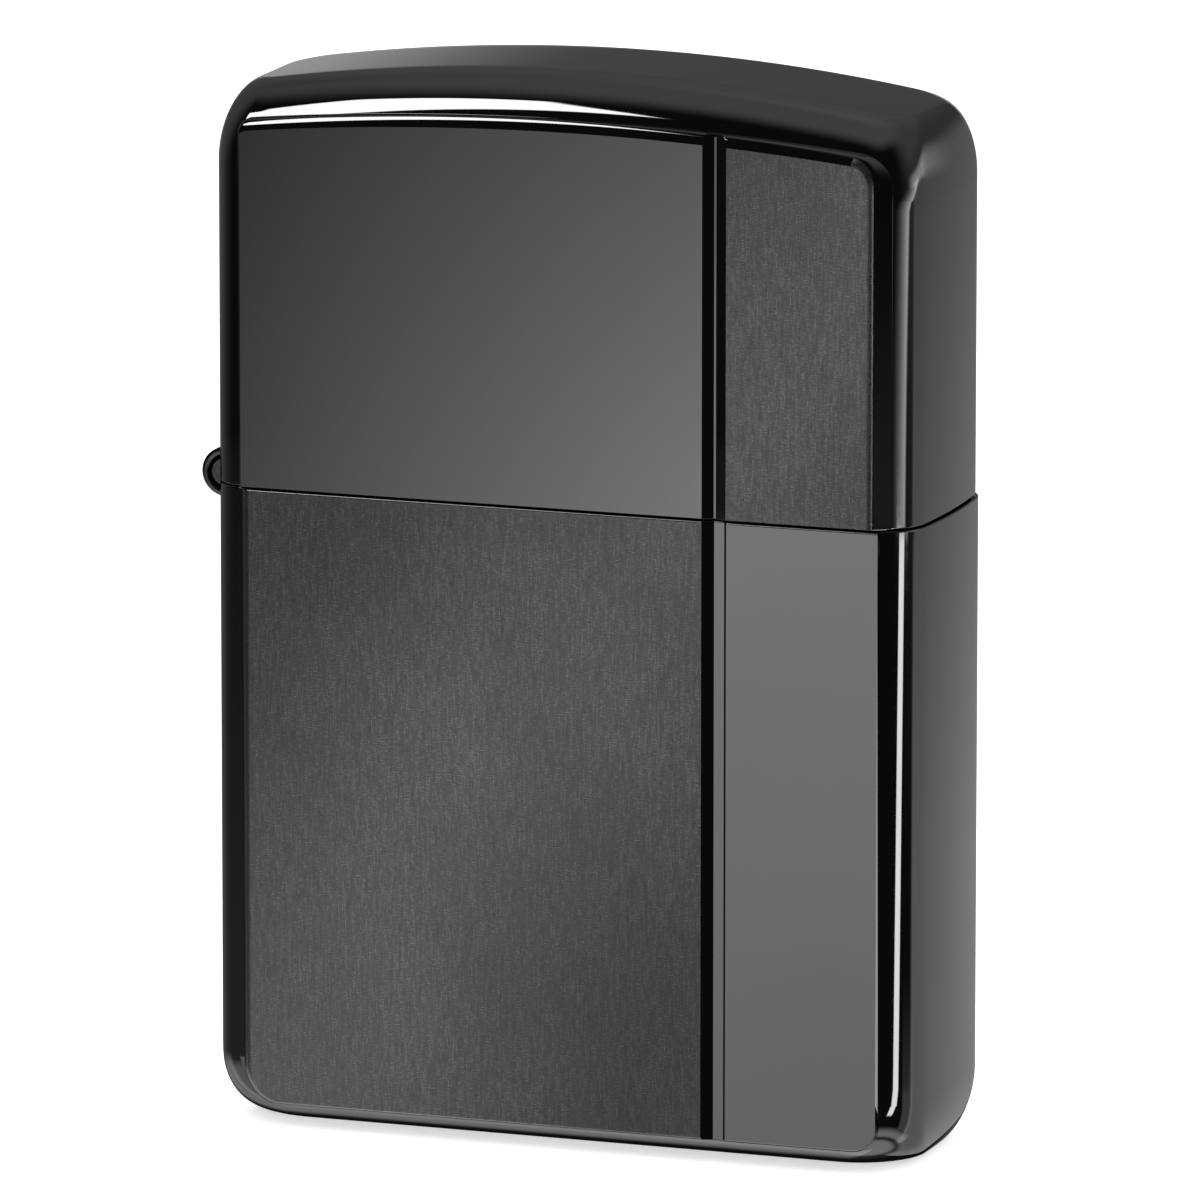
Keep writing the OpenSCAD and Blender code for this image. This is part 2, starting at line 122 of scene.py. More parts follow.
# ---- Camera ----
CAM_YAW = 19.57
CAM_PITCH = 11.60
CAM_ROLL = 0.03
CAM_DISTANCE = 750.4
CAM_TARGET = Vector((0, 0, 28.0))
CAM_NUDGE = (0.15, -0.25)
CAM_LENS = 436.5


# ======== Mesh helpers


class Skin:
    """Vertices and faces of one piece, joined ring by ring."""

    def __init__(self):
        self.verts = []
        self.faces = []
        self.slots = []

    def ring(self, points):
        start = len(self.verts)
        self.verts.extend(tuple(p) for p in points)
        return list(range(start, len(self.verts)))

    def face(self, corners, slot=0):
        self.faces.append(tuple(corners))
        self.slots.append(slot)

    def join(self, a, b, slot=0):
        """Quads between two rings. slot is one number, or a function of the index."""
        for i in range(len(a)):
            j = (i + 1) % len(a)
            self.face((a[i], a[j], b[j], b[i]), slot(i) if callable(slot) else slot)

    def zip_cap(self, ring, up=True, slot=0):
        """Closes a ring that is its own mirror in y, front half to back half."""
        n = len(ring)
        for k in range(n // 2):
            quad = [ring[k], ring[k + 1], ring[(n - k - 1) % n], ring[(n - k) % n]]
            corners = list(dict.fromkeys(quad))
            self.face(corners if up else corners[::-1], slot)

    def mesh(self, name):
        mesh = bpy.data.meshes.new(name)
        mesh.from_pydata([Vector(v) * MM for v in self.verts], [], self.faces)
        mesh.polygons.foreach_set("material_index", self.slots)
        return mesh

    def piece(self, name, body, slot, materials, sharp=34.0):
        mesh = self.mesh(name)
        for material in materials:
            mesh.materials.append(material)
        mesh.update()
        obj = bpy.data.objects.new(name, mesh)
        bpy.context.scene.collection.objects.link(obj)
        finish_shading(obj, sharp)
        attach(obj, body)
        return obj


def finish_shading(obj, sharp):
    """Smooth shading, broken only at real edges. Faces of many corners are flat plates."""
    obj.data.set_sharp_from_angle(angle=math.radians(sharp))
    for polygon in obj.data.polygons:
        polygon.use_smooth = len(polygon.vertices) < PLATE_CORNERS


def apply_modifiers(obj):
    """Makes the result of the modifiers the piece's own mesh."""
    graph = bpy.context.evaluated_depsgraph_get()
    mesh = bpy.data.meshes.new_from_object(obj.evaluated_get(graph))
    obj.modifiers.clear()
    obj.data = mesh


def steps(start, end, count):
    """count values from start up to, but without, end."""
    return [start + (end - start) * i / count for i in range(count)]


# ======== Material helpers


def set_inputs(node, values):
    for name, value in values.items():
        node.inputs[name].default_value = value


class Nodes:
    """Short calls for building a node tree."""

    def __init__(self, tree):
        self.tree = tree
        self.new = tree.nodes.new

    def link(self, source, target):
        self.tree.links.new(source, target)

    def put(self, value, socket):
        if isinstance(value, bpy.types.NodeSocket):
            self.link(value, socket)
        else:
            socket.default_value = value

    def math(self, operation, a, b=None):
        node = self.new("ShaderNodeMath")
        node.operation = operation
        self.put(a, node.inputs[0])
        if b is not None:
            self.put(b, node.inputs[1])
        return node.outputs[0]

    def ramp(self, value, low, high, to_low=0.0, to_high=1.0, smooth=True):
        node = self.new("ShaderNodeMapRange")
        node.interpolation_type = "SMOOTHSTEP" if smooth else "LINEAR"
        self.put(value, node.inputs["Value"])
        set_inputs(node, {"From Min": low, "From Max": high, "To Min": to_low, "To Max": to_high})
        return node.outputs[0]

    def position(self, scale):
        """Object position in millimetres times scale, so a pattern stays on the piece."""
        coords = self.new("ShaderNodeTexCoord")
        mapping = self.new("ShaderNodeMapping")
        mapping.inputs["Scale"].default_value = [s / MM for s in scale]
        self.link(coords.outputs["Object"], mapping.inputs["Vector"])
        return mapping.outputs[0]

    def noise(self, scale, detail=2.0, rough=0.5, offset=0.0):
        node = self.new("ShaderNodeTexNoise")
        node.noise_dimensions = "4D"
        set_inputs(node, {"W": offset, "Scale": 1.0, "Detail": detail, "Roughness": rough})
        self.link(self.position(scale), node.inputs["Vector"])
        return node.outputs["Fac"]

    def bump(self, height, depth_mm):
        node = self.new("ShaderNodeBump")
        set_inputs(node, {"Strength": 1.0, "Distance": depth_mm * MM})
        self.link(height, node.inputs["Height"])
        return node.outputs[0]

    def blend(self, a, b, share):
        """Two values added, b with its share and a with the rest."""
        return self.math("ADD", self.math("MULTIPLY", a, 1 - share), self.math("MULTIPLY", b, share))

    def mix(self, factor, a, b):
        node = self.new("ShaderNodeMix")
        node.data_type = "RGBA"
        self.put(factor, node.inputs[0])
        self.put(a if isinstance(a, bpy.types.NodeSocket) else (*a, 1.0), node.inputs[6])
        self.put((*b, 1.0), node.inputs[7])
        return node.outputs[2]


def new_material(name):
    material = bpy.data.materials.new(name)
    material.use_nodes = True
    tree = Nodes(material.node_tree)
    shader = material.node_tree.nodes["Principled BSDF"]
    return material, tree, shader


def polished_metal(name, dark, light, rough, wave_mm=0.0):
    """Buffed plating: soft clouding in colour and gloss, and a barely visible waviness."""
    material, t, shader = new_material(name)
    shader.inputs["Metallic"].default_value = 1.0
    cloud = t.noise((0.11, 0.11, 0.11), detail=2.0)
    t.link(t.mix(cloud, dark, light), shader.inputs["Base Color"])
    smear = t.noise((0.9, 0.9, 0.9), detail=4.0, offset=3.0)
    t.link(t.ramp(smear, 0.3, 0.7, *rough), shader.inputs["Roughness"])
    if wave_mm:
        wave = t.noise((0.16, 0.16, 0.16), detail=1.0, offset=7.0)
        t.link(t.bump(wave, wave_mm), shader.inputs["Normal"])
    return material


# Painted sheen: a lighter diagonal band painted into the brushed front's colour, standing in for reflected
# light. It runs along x = lean * z - shift, with the constants below, wandering a little either way.
PAINTED_SHEEN_LEAN = 0.70
PAINTED_SHEEN_SHIFT = 18.0
PAINTED_SHEEN_WANDER = 6.0
PAINTED_SHEEN_REACH = 21.0
PAINTED_SHEEN_FALL = 0.46


def outside_painted_sheen(t):
    """How much the colour is painted darker around the painted sheen: 0 on its middle line, rising to the
    fall at the reach to either side.
    """
    spot = t.new("ShaderNodeSeparateXYZ")
    t.link(t.position((1.0, 1.0, 1.0)), spot.inputs[0])
    leaned = t.math("MULTIPLY", spot.outputs[2], PAINTED_SHEEN_LEAN)
    line = t.math("ADD", t.math("SUBTRACT", spot.outputs[0], leaned), PAINTED_SHEEN_SHIFT)
    wander = t.math("MULTIPLY", t.noise((0.08, 0.08, 0.08), offset=5.0), PAINTED_SHEEN_WANDER)
    away = t.math("ABSOLUTE", t.math("ADD", line, t.math("SUBTRACT", wander, PAINTED_SHEEN_WANDER / 2)))
    return t.ramp(away, 0.0, PAINTED_SHEEN_REACH, 0.0, PAINTED_SHEEN_FALL)


def brushed_metal(name, dark, light, grain, rough, depth_mm, shade=None, cross=None, metal=1.0,
                  painted_sheen=False):
    """Brushed or drawn metal: fine scratches in colour, gloss and relief. grain is how often
    they vary per mm on each axis, and rough the gloss between them. shade adds broad cloudy
    patches, cross a fainter grain the other way, and the last flag a painted sheen: a soft
    diagonal band of lighter colour on the front, with painted shade to either side."""
    material, t, shader = new_material(name)
    shader.inputs["Metallic"].default_value = metal
    fine = t.noise(grain, detail=3.0, rough=0.65)
    coarse = t.noise([g * 0.3 for g in grain], detail=2.0, offset=4.0)
    streak = t.blend(fine, coarse, 0.4)
    if cross is not None:
        streak = t.blend(streak, t.noise(cross, detail=2.0, rough=0.6, offset=6.0), 0.4)
    level = t.ramp(streak, 0.36, 0.64)
    if shade is not None:
        patch = t.noise(shade, detail=1.0, offset=9.0)
        level = t.math("MULTIPLY", level, t.ramp(patch, 0.3, 0.7, 0.5, 1.0))
    colour = t.mix(level, dark, light)
    # Painted sheen: the colour is darkened away from a diagonal line, leaving a lighter band that stands in
    # for reflected light.
    if painted_sheen:
        colour = t.mix(outside_painted_sheen(t), colour, (0.0, 0.0, 0.0))
    t.link(colour, shader.inputs["Base Color"])
    t.link(t.ramp(streak, 0.3, 0.7, rough[1], rough[0]), shader.inputs["Roughness"])
    t.link(t.bump(streak, depth_mm), shader.inputs["Normal"])
    return material


def fibre(name, dark, light, scale, depth_mm):
    """Cotton or felt: matted fibres in colour and relief, with a soft sheen."""
    material, t, shader = new_material(name)
    set_inputs(shader, {"Roughness": 0.92, "Sheen Weight": 0.35, "Sheen Roughness": 0.5})
    tuft = t.noise([s * 0.25 for s in scale], detail=3.0, offset=1.0)
    strand = t.noise(scale, detail=5.0, rough=0.7, offset=2.0)
    both = t.blend(tuft, strand, 0.5)
    t.link(t.mix(t.ramp(both, 0.35, 0.65), dark, light), shader.inputs["Base Color"])
    t.link(t.bump(both, depth_mm), shader.inputs["Normal"])
    return material


CHROME_DARK = (0.335, 0.335, 0.338)
CHROME_LIGHT = (0.355, 0.355, 0.358)


def make_materials():
    """Each metal: name, dark and light colour, grain, rough, depth in mm, then any extras."""
    return {
        "polish": polished_metal("plating_polished", CHROME_DARK, CHROME_LIGHT, (0.012, 0.03)),
        # The brushed plating carries the painted diagonal sheen, a lighter band painted into its colour.
        "brush": brushed_metal(
            "plating_brushed", (0.53, 0.53, 0.53), (1.0, 1.0, 1.0),
            (17.0, 17.0, 2.2), (0.25, 0.32), 0.002, (0.09, 0.09, 0.06), (3.4, 3.4, 17.0), painted_sheen=True
        ),
        "inside": brushed_metal(
            "plating_inside", (0.24, 0.24, 0.245), (0.36, 0.36, 0.365),
            (0.8, 3.0, 6.0), (0.28, 0.45), 0.006, metal=0.55
        ),
        "hinge": brushed_metal(
            "hinge_steel", (0.26, 0.26, 0.265), (0.38, 0.38, 0.385),
            (3.0, 9.0, 3.0), (0.10, 0.24), 0.003
        ),
        "insert": brushed_metal(
            "insert_steel", (0.52, 0.52, 0.51), (0.70, 0.70, 0.69),
            (0.5, 0.5, 11.0), (0.22, 0.36), 0.005, (0.06, 0.06, 0.06)
        ),
        "cam": brushed_metal(
            "cam_steel", (0.42, 0.42, 0.41), (0.62, 0.62, 0.60),
            (2.0, 9.0, 2.0), (0.22, 0.38), 0.006
        ),
        "rivet": polished_metal(
            "rivet_steel", (0.50, 0.50, 0.48), (0.66, 0.66, 0.64), (0.12, 0.28), 0.02
        ),
        "spring": brushed_metal(
            "spring_steel", (0.34, 0.34, 0.36), (0.55, 0.55, 0.57),
            (6.0, 6.0, 2.0), (0.16, 0.32), 0.003
        ),
        "wheel": brushed_metal(
            "wheel_steel", (0.10, 0.10, 0.105), (0.26, 0.255, 0.25),
            (2.5, 2.5, 2.5), (0.30, 0.55), 0.02, (0.4, 0.4, 0.4)
        ),
        "brass": brushed_metal(
            "tube_brass", (0.52, 0.36, 0.15), (0.78, 0.58, 0.28),
            (0.6, 0.6, 7.0), (0.20, 0.40), 0.005, (0.2, 0.2, 0.2)
        ),
        "flint": brushed_metal(
            "flint_alloy", (0.09, 0.085, 0.08), (0.24, 0.23, 0.22),
            (3.0, 3.0, 1.2), (0.45, 0.70), 0.03
        ),
        "copper": brushed_metal(
            "wick_copper", (0.55, 0.24, 0.12), (0.82, 0.42, 0.24),
            (5.0, 5.0, 1.0), (0.20, 0.40), 0.003
        ),
        "wick": fibre("wick_cotton", (0.60, 0.57, 0.50), (0.86, 0.84, 0.78), (5.0, 5.0, 5.0), 0.05),
        "cotton": fibre("packing_cotton", (0.66, 0.64, 0.60), (0.93, 0.92, 0.89), (2.2, 2.2, 3.4), 0.16),
        "felt": fibre("felt_grey", (0.40, 0.39, 0.37), (0.66, 0.65, 0.62), (4.0, 4.0, 4.0), 0.10),
    }


MAT = make_materials()


# ======== Shells

SIDE_STEPS = 8
TURN_STEPS = 14
FRONT_STEPS = 44


def outline(half_x, half_y, radius):
    """Rounded rectangle, anticlockwise from the middle of its left side, mirrored in y."""
    radius = min(radius, half_y - 0.02)
    straight_x = half_x - radius
    straight_y = half_y - radius
    quarter = math.pi / 2
    half = [(-half_x, -straight_y * t) for t in steps(0, 1, SIDE_STEPS)]
    for a in steps(0, quarter, TURN_STEPS):
        half.append((-straight_x - radius * math.cos(a), -straight_y - radius * math.sin(a)))
    half += [(x, -half_y) for x in steps(-straight_x, straight_x, FRONT_STEPS)]
    for a in steps(0, quarter, TURN_STEPS):
        half.append((straight_x + radius * math.sin(a), -straight_y - radius * math.cos(a)))
    half += [(half_x, -straight_y * (1 - t)) for t in steps(0, 1, SIDE_STEPS)]
    half.append((half_x, 0.0))
    return half + [(x, -y) for x, y in half[-2:0:-1]]


def bulged(x, y):
    """The right side is crowned. The left stays flat, so the open lid clears the case."""
    if x <= 0:
        return x
    return x + (RIGHT_BULGE * (1 - (y / HALF_D) ** 2) - RIGHT_SETBACK) * x / HALF_W


def moved(x, shift):
    """The lid's right side stands in by the shift, its left side lines up with the case."""
    return x + shift * (x + HALF_W) / (2 * HALF_W)


def crown_drop(x):
    """How far the arched top lies below its middle."""
    return CROWN_DROP * (x / HALF_W) ** 2


def eased(form, angle):
    """Half width, half depth and corner radius where the wall turns into the top or foot."""
    c = 1 - math.cos(angle)
    return (
        HALF_W - form["inset_x"] * c,
        HALF_D - form["inset_y"] * c,
        CORNER_R + form["corner"] * c,
    )


def shell_ring(skin, size, height, shift, roll=0.0):
    """One outer ring. height is a function of x, and roll pulls the ring in for a lip."""
    half_x, half_y, radius = size
    points = outline(half_x - roll, half_y - roll, radius - roll)
    return skin.ring(
        (moved(bulged(x, y), shift), y + MIDDLE_Y, height(x)) for x, y in points
    )


def plain_ring(skin, half_x, half_y, radius, height, shift):
    """One ring of a cavity."""
    points = outline(half_x, half_y, radius)
    return skin.ring((moved(x, shift), y, height(x)) for x, y in points)


def run(skin, rings, slot=0):
    """Joins each ring to the next."""
    for a, b in zip(rings, rings[1:]):
        skin.join(a, b, slot)


# Rings are closer together where a turn begins and ends, to hold the flats flat.
TURN_ANGLES = [math.radians(a) for a in (0, 2, 5, 8, 12, 16, *range(20, 81, 5), 84, 87, 90)]
LIP_ANGLES = [math.radians(a) for a in range(0, 91, 15)]
POLISH, BRUSH, INSIDE = range(3)


def lid_cavity(skin, rim_z):
    """Rings from the middle of the lid's ceiling down to its rim."""
    def ring(half_x, half_y, radius, height):
        return plain_ring(skin, half_x, half_y, radius, height, LID_SHIFT)

    turn = ROOF_TURN
    sizes = []
    for share in (0.02, 0.35, 0.7):
        ceiling_x = CAVITY_HALF_W - turn["inset_x"] - (1 - share) * 0.2
        sizes.append((ceiling_x, (CAVITY_HALF_D - turn["inset_y"]) * share, 0.9, 0.0))
    for a in reversed(TURN_ANGLES[::3]):
        c = 1 - math.cos(a)
        sizes.append((
            CAVITY_HALF_W - turn["inset_x"] * c, CAVITY_HALF_D - turn["inset_y"] * c, CAVITY_R,
            turn["height"] * (1 - math.sin(a)),
        ))
    rings = []
    for half_x, half_y, radius, fall in sizes:
        rings.append(ring(half_x, half_y, radius, lambda x: HEIGHT - ROOF_T - crown_drop(x) - fall))
    for z in (48.0, 44.0, 39.0, rim_z + CAVITY_BREAK):
        rings.append(ring(CAVITY_HALF_W, CAVITY_HALF_D, CAVITY_R, lambda x: z))
    rings.append(ring(
        CAVITY_HALF_W + CAVITY_BREAK, CAVITY_HALF_D + CAVITY_BREAK, CAVITY_R, lambda x: rim_z
    ))
    return rings


def lid_outside(skin, rim_z):
    """Rings from the lid's rim, up the wall and over the crown to the middle of the top."""
    def ring(size, height, roll=0.0):
        return shell_ring(skin, size, height, LID_SHIFT, roll)

    wall = eased(CROWN, 0)
    lip = LID_LIP_R
    rings = []
    for a in LIP_ANGLES[::2]:
        rings.append(ring(wall, lambda x: rim_z + lip * (1 - math.cos(a)), lip * (1 - math.sin(a))))
    for share in (0.0015, 0.02, 0.1, 0.25, 0.5, 0.75, 0.9, 0.97):
        rings.append(ring(wall, lambda x: (
            rim_z + lip + (HEIGHT - crown_drop(x) - CROWN["height"] - rim_z - lip) * share
        )))
    for a in TURN_ANGLES:
        rings.append(ring(
            eased(CROWN, a), lambda x: HEIGHT - crown_drop(x) - CROWN["height"] * (1 - math.sin(a))
        ))
    top_x, top_y, top_r = eased(CROWN, math.pi / 2)
    for share in (0.85, 0.6, 0.35, 0.12):
        size = (top_x - (1 - share) * 0.4, top_y * share, top_r * share)
        rings.append(ring(size, lambda x: HEIGHT - crown_drop(x)))
    return rings


def lid_shell():
    """Lid from its ceiling, down the inside, round the rim, and up the outside."""
    skin = Skin()
    rim_z = SPLIT_Z + SPLIT_GAP
    inner = lid_cavity(skin, rim_z)
    outer = lid_outside(skin, rim_z)
    run(skin, inner, INSIDE)
    skin.zip_cap(inner[0], up=False, slot=INSIDE)
    skin.join(inner[-1], outer[0], POLISH)
    run(skin, outer, POLISH)
    skin.zip_cap(outer[-1], up=True, slot=POLISH)
    return skin


def base_outside(skin, rim_z):
    """Rings from the middle of the underside, round the foot and up the wall to the rim."""
    def ring(size, height, roll=0.0):
        return shell_ring(skin, size, height, 0.0, roll)

    foot_x, foot_y, foot_r = eased(FOOT, math.pi / 2)
    rings = []
    for share in (0.12, 0.4, 0.7, 0.9):
        size = (foot_x - (1 - share) * 0.6, foot_y * share, foot_r * share)
        rings.append(ring(size, lambda x: 0.0))
    for a in reversed(TURN_ANGLES):
        rings.append(ring(eased(FOOT, a), lambda x: FOOT["height"] * (1 - math.sin(a))))
    wall = eased(FOOT, 0)
    lip = BASE_LIP_R
    for share in (0.03, 0.1, 0.25, 0.5, 0.75, 0.9, 0.97, 0.999):
        z = FOOT["height"] + (rim_z - lip - FOOT["height"]) * share
        rings.append(ring(wall, lambda x: z))
    for a in LIP_ANGLES:
        rings.append(ring(wall, lambda x: rim_z - lip * (1 - math.sin(a)), lip * (1 - math.cos(a))))
    return rings


def base_cavity(skin, rim_z):
    """Rings from the rim of the lower case down to the middle of its floor."""
    def ring(half_x, half_y, radius, z):
        return plain_ring(skin, half_x, half_y, radius, lambda x: z, 0.0)

    rings = [ring(CAVITY_HALF_W + CAVITY_BREAK, CAVITY_HALF_D + CAVITY_BREAK, CAVITY_R, rim_z)]
    for z in (rim_z - CAVITY_BREAK, 25.0, 15.0, 6.0, FLOOR_T + FLOOR_FILLET):
        rings.append(ring(CAVITY_HALF_W, CAVITY_HALF_D, CAVITY_R, z))
    for degrees in (30, 60, 90):
        turn = math.radians(degrees)
        pull = FLOOR_FILLET * (1 - math.cos(turn))
        z = FLOOR_T + FLOOR_FILLET * (1 - math.sin(turn))
        rings.append(ring(CAVITY_HALF_W - pull, CAVITY_HALF_D - pull, CAVITY_R, z))
    for share in (0.7, 0.35, 0.05):
        half_y = (CAVITY_HALF_D - FLOOR_FILLET) * share
        rings.append(ring(CAVITY_HALF_W - 1.0, half_y, CAVITY_R * share, FLOOR_T))
    return rings


def base_shell():
    """Lower case from the middle of its underside, up the outside, and down the inside."""
    skin = Skin()
    rim_z = SPLIT_Z - SPLIT_GAP
    outer = base_outside(skin, rim_z)
    inner = base_cavity(skin, rim_z)
    run(skin, outer, POLISH)
    skin.zip_cap(outer[0], up=False, slot=POLISH)
    skin.join(outer[-1], inner[0], POLISH)
    run(skin, inner, INSIDE)
    skin.zip_cap(inner[-1], up=True, slot=INSIDE)
    return skin


def frame_front(x, z, crown):
    """y of the frame's front surface, under the panels and along their edges."""
    form = CROWN if crown else FOOT
    depth = (HEIGHT - crown_drop(x) - z) if crown else z
    level = max(0.0, 1 - max(depth, 0.0) / form["height"])
    half_x, half_y, radius = eased(form, math.asin(level))
    over = max(0.0, abs(x) - (half_x - radius))
    inset = radius - math.sqrt(max(radius * radius - over * over, 0.0))
    return MIDDLE_Y - half_y + inset


# ======== Panels

# Edge profiles: what share of its reach an edge has come in by, at share b of its height.
def chamfer(b):
    return b


def crisp(b):
    """A nearly upright edge with a small break at the top."""
    return 0.12 * max(b, 0.0) + 0.88 * max(0.0, (b - 0.8) / 0.2) ** 2


def lipped(b):
    """An upright edge with a small quarter round at the top."""
    share = max(0.0, (b - 0.64) / 0.36)
    return 1 - math.sqrt(max(1 - share * share, 0.0))


def soft(b):
    """A long rounding that meets the face without an edge."""
    if b < 0:
        return b / 2
    return 1 - math.sqrt(max(1 - b, 0.0))


def rolled(b):
    """A straight slope that rolls over to the face."""
    slope_b, slope_a = 0.78, 0.64
    if b <= slope_b:
        return slope_a * b / slope_b
    return 1 - (1 - slope_a) * math.sqrt(max(1 - b, 0.0) / (1 - slope_b))


def ledge_then_round(b):
    """An upright ledge, then a wide rounding over to the face."""
    start = 0.66
    if b <= start:
        return 0.03 * max(b, 0.0) / start
    share = (b - start) / (1 - start)
    return 0.03 + 0.97 * (1 - math.sqrt(max(1 - share, 0.0)))


# Shares of a panel's height that get a ring, closer together towards the face.
LEVELS = [-0.25, 0.0, 0.12, 0.3, 0.5, 0.64, 0.7, 0.76, 0.82, 0.87, 0.91, 0.945, 0.97, 0.985, 0.995, 1.0]
EDGE_STEPS = 26
BEND_STEPS = 9
SHARP_CORNER = 0.03
LEAST_BEND = 0.02
BEND_LOSS = 0.6  # share of an edge's reach that its corner radius loses
BOTTOM_EDGE, RIGHT_EDGE, TOP_EDGE, LEFT_EDGE = range(4)
GROOVE_UNDER_LEFT, GROOVE_UNDER_RIGHT = 0.5, 0.4  # how far the groove's floor runs under panels


def sides(left, right, bottom, top):
    return {"left": left, "right": right, "bottom": bottom, "top": top}


def panel_outline(spec, b):
    """Outline of a panel in x and z at share b of its height: bottom, right, top, left."""
    pull = {side: spec["reach"][side] * spec["edge"][side](b) for side in spec["reach"]}
    left = spec["left"] + pull["left"]
    right = spec["right"] - pull["right"]
    bottom = spec["bottom"] + pull["bottom"]
    top = spec["top"] - pull["top"]
    corners = (
        (right, bottom, -1, "right", "bottom"), (right, top, 0, "right", "top"),
        (left, top, 1, "left", "top"), (left, bottom, 2, "left", "bottom"),
    )
    bends = []
    for x, z, quarter, side, end in corners:
        radius = spec["round"].get(f"{end}_{side}", SHARP_CORNER)
        radius_x = max(radius - pull[side] * BEND_LOSS, LEAST_BEND)
        radius_z = max(radius - pull[end] * BEND_LOSS, LEAST_BEND)
        centre_x = x - radius_x if x == right else x + radius_x
        centre_z = z + radius_z if z == bottom else z - radius_z
        arc = []
        for i in range(BEND_STEPS + 1):
            a = math.pi / 2 * (quarter + i / BEND_STEPS)
            arc.append((centre_x + radius_x * math.cos(a), centre_z + radius_z * math.sin(a)))
        bends.append(arc)
    flat = []
    for i, arc in enumerate(bends):
        (start_x, start_z), (end_x, end_z) = bends[i - 1][-1], arc[0]
        for t in steps(0, 1, EDGE_STEPS):
            flat.append((start_x + (end_x - start_x) * t, start_z + (end_z - start_z) * t))
        flat.extend(arc)
    if not spec["crown"]:
        return flat
    tall = spec["top"] - spec["bottom"]
    return [(x, z - x * x / (2 * PANEL_ARCH_R) * (z - spec["bottom"]) / tall) for x, z in flat]


def panel_ring(skin, spec, b, sink=0.0, face_y=FACE_Y):
    """One ring of a panel, b of the way from where it meets the frame to its face."""
    points = []
    foot = panel_outline(spec, 0.0)
    for i, (x, z) in enumerate(panel_outline(spec, b)):
        foot_x, foot_z = foot[i]
        root = frame_front(foot_x, foot_z, spec["crown"])
        if side_of(i) in spec["bare"]:
            root = min(root, GROOVE_Y)
        points.append((x + spec["shift"], root + (face_y - root) * b + sink, z))
    return skin.ring(points)


def side_of(index):
    """Which edge of a panel a ring index belongs to, numbered as BOTTOM_EDGE and the rest."""
    return index // (EDGE_STEPS + BEND_STEPS + 1)


def panel(skin, spec):
    """A raised plate, closed at the back inside the wall. Its edges are polished up to
    their shoulder, and the groove's sides all the way."""
    back = panel_ring(skin, spec, LEVELS[0], PANEL_SINK)
    rings = [panel_ring(skin, spec, b) for b in LEVELS]
    skin.face(back[::-1], POLISH)
    skin.join(back, rings[0], POLISH)
    for level, a, b in zip(LEVELS, rings, rings[1:]):
        worked = spec["worked"] if level >= spec["shoulder"] else ()
        skin.join(a, b, lambda i: spec["slot"] if side_of(i) in worked else POLISH)
    skin.face(rings[-1], spec["slot"])


def groove_floor(skin, left_panel, right_panel):
    """The flat strip at the bottom of the groove between two panels, level from end to end."""
    crown, shift = left_panel["crown"], left_panel["shift"]
    spec = {
        "left": left_panel["right"] - GROOVE_UNDER_LEFT,
        "right": right_panel["left"] + GROOVE_UNDER_RIGHT,
        "bottom": left_panel["bottom"], "top": left_panel["top"] - (0.12 if crown else 0.02),
        "reach": sides(0.02, 0.02, 0.05, 0.05),
        "edge": sides(crisp, crisp, crisp, crisp),
        "round": {}, "bare": (), "crown": crown, "shift": shift, **POLISHED_PANEL,
    }
    back = panel_ring(skin, spec, LEVELS[0], PANEL_SINK)
    rings = [panel_ring(skin, spec, b, face_y=GROOVE_Y) for b in (0.0, 0.5, 0.9, 1.0)]
    skin.face(back[::-1], POLISH)
    skin.join(back, rings[0], POLISH)
    run(skin, rings, POLISH)
    skin.face(rings[-1], POLISH)


# What the panels of each shell share. "reach" is how far each edge runs in between its foot
# and the face, "edge" is its profile, "bare" names the edges that go down to the groove, and
# "worked" the edges that are brushed from their shoulder up.
POLISHED_PANEL = {"slot": POLISH, "worked": (), "shoulder": 1.0}
LID_PANEL = {"bottom": SPLIT_Z + SPLIT_GAP, "top": PANEL_CROWN_Z, "crown": True, "shift": LID_SHIFT}
BASE_PANEL = {"bottom": PANEL_FOOT_Z, "top": SPLIT_Z - SPLIT_GAP, "crown": False, "shift": 0.0}

PANELS = {
    "lid": [
        {
            **LID_PANEL, **POLISHED_PANEL, "left": -17.12, "right": 8.66,
            "reach": sides(0.10, 0.56, 0.03, 0.62),
            "edge": sides(crisp, chamfer, crisp, ledge_then_round),
            "round": {"top_left": 0.55}, "bare": (RIGHT_EDGE,),
        },
        {
            **LID_PANEL, "left": 8.77, "right": 17.86,
            "reach": sides(0.62, 0.95, 0.03, 0.62),
            "edge": sides(chamfer, rolled, crisp, ledge_then_round),
            "round": {"top_right": 1.45}, "bare": (LEFT_EDGE,),
            "slot": BRUSH, "worked": (BOTTOM_EDGE, RIGHT_EDGE), "shoulder": 0.8,
        },
    ],
    "base": [
        {
            **BASE_PANEL, "left": -17.22, "right": 8.54,
            "reach": sides(0.5, 0.60, 0.14, 0.10),
            "edge": sides(soft, chamfer, crisp, lipped),
            "round": {"bottom_left": 1.9}, "bare": (RIGHT_EDGE,),
            "slot": BRUSH, "worked": (BOTTOM_EDGE, LEFT_EDGE), "shoulder": 0.64,
        },
        {
            **BASE_PANEL, **POLISHED_PANEL, "left": 9.08, "right": 17.40,
            "reach": sides(0.20, 0.0, 0.14, 0.10),
            "edge": sides(chamfer, crisp, crisp, lipped),
            "round": {"bottom_right": 1.35}, "bare": (LEFT_EDGE,),
        },
    ],
}


